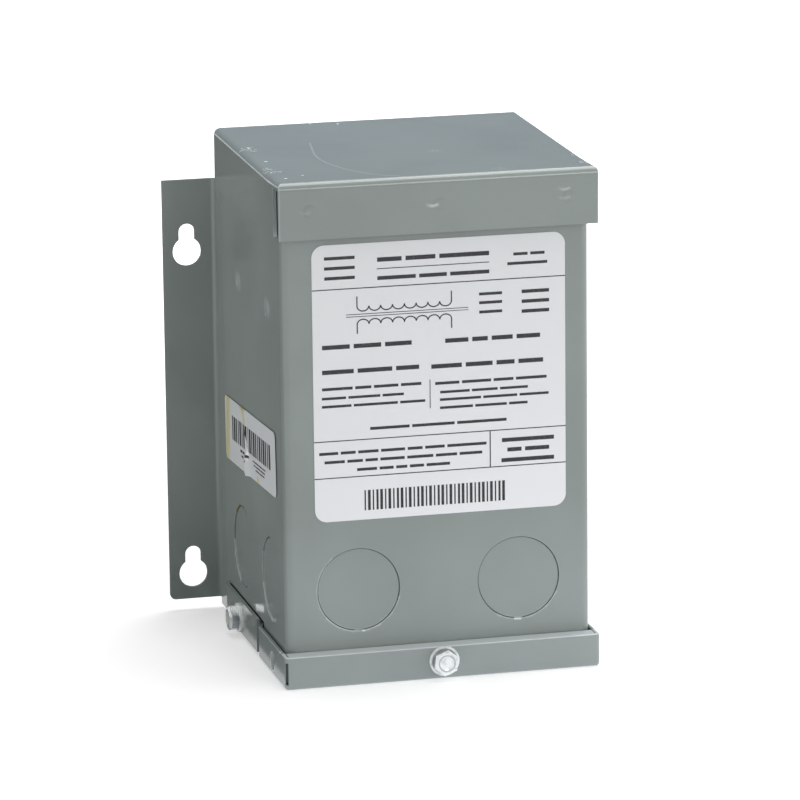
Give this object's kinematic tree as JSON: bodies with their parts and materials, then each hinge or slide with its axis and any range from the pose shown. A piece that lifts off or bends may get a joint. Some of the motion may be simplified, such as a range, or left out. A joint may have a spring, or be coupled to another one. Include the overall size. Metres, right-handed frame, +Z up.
{
  "type": "dry-type transformer",
  "caption": "Small wall-mounted dry-type transformer: potted core in a folded sheet-steel box with lipped top and bottom covers, knockouts and keyhole ears.",
  "frame": {"origin": "under the middle of the bounding box, on the plane the bottom cover rests on", "axes": "+Z up, the labelled front faces -Y, +X to the right seen from the front"},
  "size_m": [0.1442, 0.116, 0.1756],
  "materials": {
    "enamel": "glossy grey-green enamel",
    "screw_zinc": "bright zinc",
    "front_label": "satin film",
    "side_label": "satin film, worn",
    "compound": "cast compound"
  },
  "bodies": {
    "root": {"body_wrap": "enamel", "back_panel": "enamel", "top_cover": "enamel", "bottom_cover": "enamel", "left_mounting_bracket": "enamel", "right_mounting_bracket": "enamel", "front_knockout_left": "enamel", "front_knockout_right": "enamel", "left_knockout_front": "enamel", "left_knockout_rear": "enamel", "right_knockout_front": "enamel", "right_knockout_rear": "enamel", "front_cover_screw": "screw_zinc", "left_cover_screw": "screw_zinc", "right_cover_screw": "screw_zinc", "front_label": "front_label", "left_side_label": "side_label", "potted_core": "compound"}
  },
  "joints": []
}
